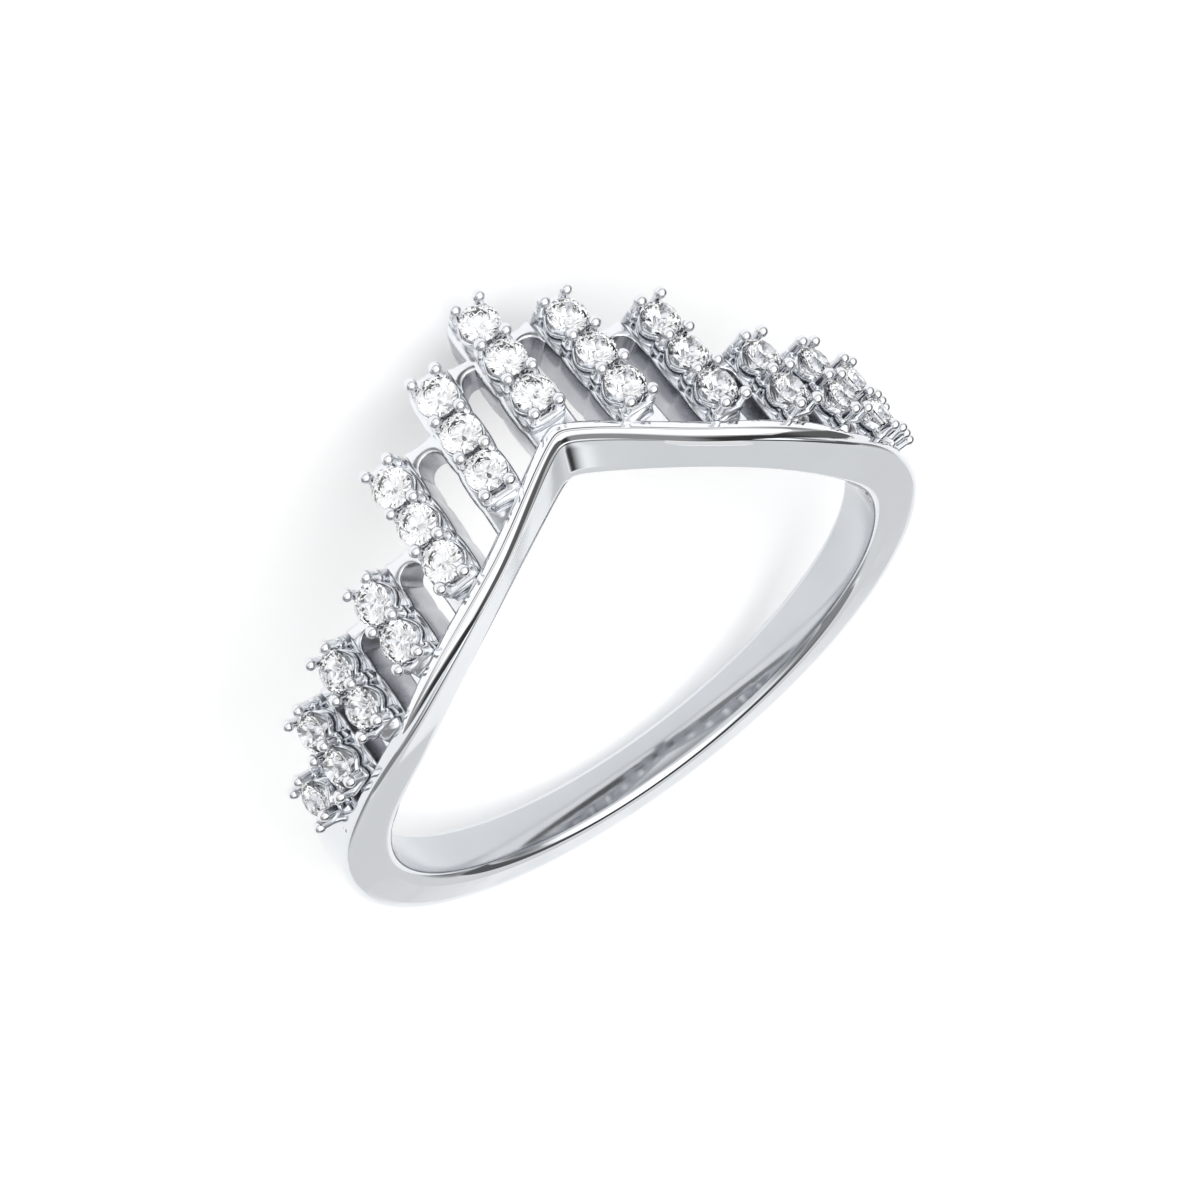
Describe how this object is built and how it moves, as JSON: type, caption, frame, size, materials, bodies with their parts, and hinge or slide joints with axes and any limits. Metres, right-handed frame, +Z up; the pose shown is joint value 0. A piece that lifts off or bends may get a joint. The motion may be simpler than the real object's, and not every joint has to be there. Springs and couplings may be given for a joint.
{
  "type": "closed tiara ring with chevron band",
  "caption": "Tiara finger ring: a V-shaped front band carries a fan of upright bars set with small round clear stones; lies on its side.",
  "frame": {"origin": "on the surface it lies on, under the middle of the bounding box", "axes": "+Z up from the surface; the chevron front faces -Y; the ring lies on the tip of its crown and the back of its shank, with the finger hole's axis tilted towards Y"},
  "size_m": [0.0208, 0.0228, 0.007],
  "materials": {
    "metal": "polished",
    "stone": "polished"
  },
  "bodies": {
    "root": {"ring_body": "metal", "stone_1_1": "stone", "stone_2_1": "stone", "stone_2_2": "stone", "stone_3_1": "stone", "stone_3_2": "stone", "stone_4_1": "stone", "stone_4_2": "stone", "stone_5_1": "stone", "stone_5_2": "stone", "stone_5_3": "stone", "stone_6_1": "stone", "stone_6_2": "stone", "stone_6_3": "stone", "stone_7_1": "stone", "stone_7_2": "stone", "stone_7_3": "stone", "stone_8_1": "stone", "stone_8_2": "stone", "stone_8_3": "stone", "stone_9_1": "stone", "stone_9_2": "stone", "stone_9_3": "stone", "stone_10_1": "stone", "stone_10_2": "stone", "stone_11_1": "stone", "stone_11_2": "stone", "stone_12_1": "stone", "stone_12_2": "stone", "stone_13_1": "stone"}
  },
  "joints": []
}
